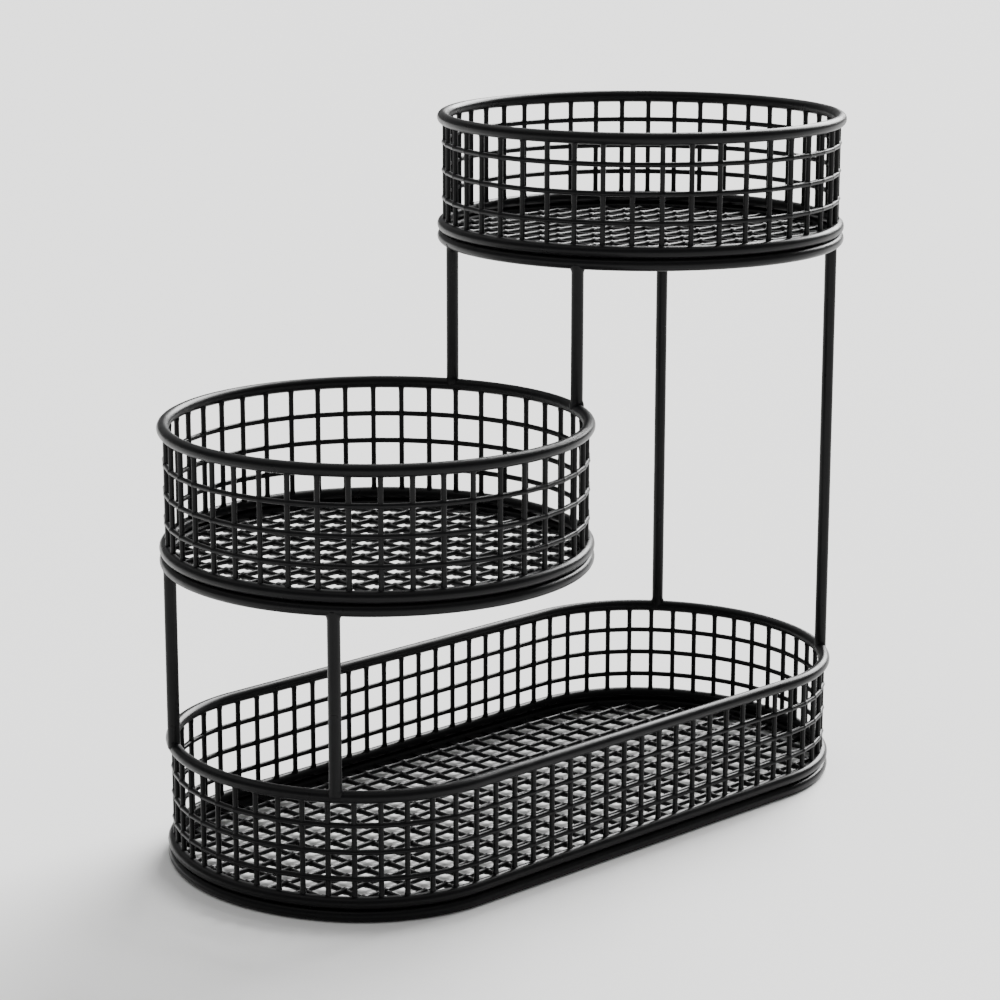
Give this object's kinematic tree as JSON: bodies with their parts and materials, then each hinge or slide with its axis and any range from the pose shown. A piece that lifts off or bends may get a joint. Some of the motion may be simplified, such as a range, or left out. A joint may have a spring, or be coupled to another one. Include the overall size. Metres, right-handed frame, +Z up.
{
  "type": "tiered wire basket",
  "caption": "Free-standing black wire basket in staggered tiers: a long oval mesh tray carries round mesh baskets at different heights on straight posts.",
  "frame": {"origin": "on the table, under the middle of the whole basket's box", "axes": "+X along the tray towards the top basket, +Y to the back, +Z up"},
  "size_m": [0.372, 0.199, 0.3323],
  "materials": {
    "black_coating": "satin black powder coat on steel wire"
  },
  "bodies": {
    "root": {"tray_rim": "black_coating", "tray_upper_base_ring": "black_coating", "tray_lower_base_ring": "black_coating", "tray_lower_hoop": "black_coating", "tray_middle_hoop": "black_coating", "tray_upper_hoop": "black_coating", "tray_uprights": "black_coating", "tray_floor_long_wires": "black_coating", "tray_floor_cross_wires": "black_coating", "middle_rim": "black_coating", "middle_upper_base_ring": "black_coating", "middle_lower_base_ring": "black_coating", "middle_lower_hoop": "black_coating", "middle_middle_hoop": "black_coating", "middle_upper_hoop": "black_coating", "middle_uprights": "black_coating", "middle_floor_long_wires": "black_coating", "middle_floor_cross_wires": "black_coating", "top_rim": "black_coating", "top_upper_base_ring": "black_coating", "top_lower_base_ring": "black_coating", "top_lower_hoop": "black_coating", "top_middle_hoop": "black_coating", "top_upper_hoop": "black_coating", "top_uprights": "black_coating", "top_floor_long_wires": "black_coating", "top_floor_cross_wires": "black_coating", "post_right_back": "black_coating", "post_right_front": "black_coating", "post_left_back": "black_coating", "post_left_front": "black_coating", "post_centre_back": "black_coating", "post_centre_front": "black_coating"}
  },
  "joints": []
}
